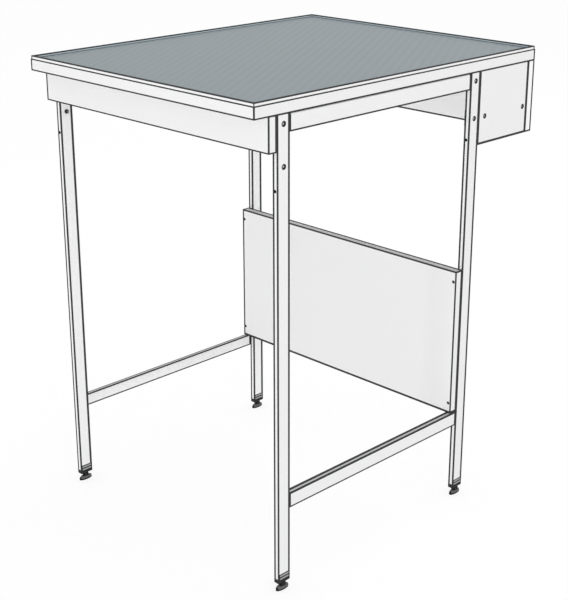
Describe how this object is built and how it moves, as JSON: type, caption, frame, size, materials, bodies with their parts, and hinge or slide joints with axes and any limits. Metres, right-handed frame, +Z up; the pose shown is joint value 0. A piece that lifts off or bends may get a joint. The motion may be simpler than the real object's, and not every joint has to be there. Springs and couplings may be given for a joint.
{
  "type": "wall-side laboratory bench",
  "caption": "Free-standing wall-side lab bench: trayed worktop on a slim tube frame, front apron, lower rear panel, rear service box and levelling feet.",
  "frame": {"origin": "on the floor, under the middle of the worktop", "axes": "+X to the right seen from the front, +Y to the wall, +Z up"},
  "size_m": [0.6, 0.75, 0.9],
  "materials": {
    "white_board": "satin",
    "white_edging": "satin",
    "white_steel": "powder coated",
    "blue_grey_tray": "satin enamel",
    "zinc_steel": "zinc plated",
    "black_steel": "black oxide",
    "black_plastic": "moulded"
  },
  "bodies": {
    "bench": {"worktop_board": "white_board", "worktop_edge_frame": "white_edging", "worktop_tray": "blue_grey_tray", "left_front_leg": "white_steel", "left_rear_leg": "white_steel", "right_front_leg": "white_steel", "right_rear_leg": "white_steel", "left_top_rail": "white_steel", "right_top_rail": "white_steel", "left_stretcher": "white_steel", "right_stretcher": "white_steel", "front_cross_rail": "white_steel", "rear_cross_rail": "white_steel", "front_apron": "white_board", "lower_rear_panel": "white_board", "service_back_board": "white_board", "left_cheek": "white_board", "right_cheek": "white_board", "left_joining_plate": "white_steel", "right_joining_plate": "white_steel", "left_corner_bracket": "white_steel", "right_corner_bracket": "white_steel", "left_front_rail_bolt": "zinc_steel", "left_rear_rail_bolt": "zinc_steel", "right_front_rail_bolt": "zinc_steel", "right_rear_rail_bolt": "zinc_steel", "left_link_bolt": "zinc_steel", "right_link_bolt": "zinc_steel", "left_link_nut": "zinc_steel", "right_link_nut": "zinc_steel", "left_plate_bolt": "zinc_steel", "right_plate_bolt": "zinc_steel", "left_front_cheek_bolt": "zinc_steel", "left_rear_cheek_bolt": "zinc_steel", "right_front_cheek_bolt": "zinc_steel", "right_rear_cheek_bolt": "zinc_steel", "left_front_worktop_screw": "zinc_steel", "left_rear_worktop_screw": "zinc_steel", "right_front_worktop_screw": "zinc_steel", "right_rear_worktop_screw": "zinc_steel", "left_apron_screw": "zinc_steel", "right_apron_screw": "zinc_steel", "left_lower_panel_screw": "zinc_steel", "left_upper_panel_screw": "zinc_steel", "right_lower_panel_screw": "zinc_steel", "right_upper_panel_screw": "zinc_steel", "left_back_board_screw": "zinc_steel", "right_back_board_screw": "zinc_steel", "left_front_foot_plug": "black_plastic", "left_rear_foot_plug": "black_plastic", "right_front_foot_plug": "black_plastic", "right_rear_foot_plug": "black_plastic"},
    "left_front_pad": {"left_front_foot_pad": "black_plastic"},
    "left_rear_pad": {"left_rear_foot_pad": "black_plastic"},
    "right_front_pad": {"right_front_foot_pad": "black_plastic"},
    "right_rear_pad": {"right_rear_foot_pad": "black_plastic"},
    "left_front_stud": {"left_front_foot_stud": "black_steel"},
    "left_rear_stud": {"left_rear_foot_stud": "black_steel"},
    "right_front_stud": {"right_front_foot_stud": "black_steel"},
    "right_rear_stud": {"right_rear_foot_stud": "black_steel"}
  },
  "joints": [
    {"name": "left_front_foot_height", "type": "slide", "parent": "bench", "child": "left_front_pad", "axis": [0, 0, -1], "range_m": [0, 0.02]},
    {"name": "left_rear_foot_height", "type": "slide", "parent": "bench", "child": "left_rear_pad", "axis": [0, 0, -1], "range_m": [0, 0.02]},
    {"name": "right_front_foot_height", "type": "slide", "parent": "bench", "child": "right_front_pad", "axis": [0, 0, -1], "range_m": [0, 0.02]},
    {"name": "right_rear_foot_height", "type": "slide", "parent": "bench", "child": "right_rear_pad", "axis": [0, 0, -1], "range_m": [0, 0.02]},
    {"name": "left_front_stud_turn", "type": "hinge", "parent": "left_front_pad", "child": "left_front_stud", "pos_m": [-0.294, -0.30975, 0], "axis": [0, 0, -1], "range_deg": [0, 7201]},
    {"name": "left_rear_stud_turn", "type": "hinge", "parent": "left_rear_pad", "child": "left_rear_stud", "pos_m": [-0.294, 0.19025, 0], "axis": [0, 0, -1], "range_deg": [0, 7201]},
    {"name": "right_front_stud_turn", "type": "hinge", "parent": "right_front_pad", "child": "right_front_stud", "pos_m": [0.294, -0.30975, 0], "axis": [0, 0, -1], "range_deg": [0, 7201]},
    {"name": "right_rear_stud_turn", "type": "hinge", "parent": "right_rear_pad", "child": "right_rear_stud", "pos_m": [0.294, 0.19025, 0], "axis": [0, 0, -1], "range_deg": [0, 7201]}
  ],
  "couplings": [
    {"joint": "left_front_stud_turn", "follows": "left_front_foot_height", "rad_per_m": 6283.2},
    {"joint": "left_rear_stud_turn", "follows": "left_rear_foot_height", "rad_per_m": 6283.2},
    {"joint": "right_front_stud_turn", "follows": "right_front_foot_height", "rad_per_m": 6283.2},
    {"joint": "right_rear_stud_turn", "follows": "right_rear_foot_height", "rad_per_m": 6283.2}
  ]
}
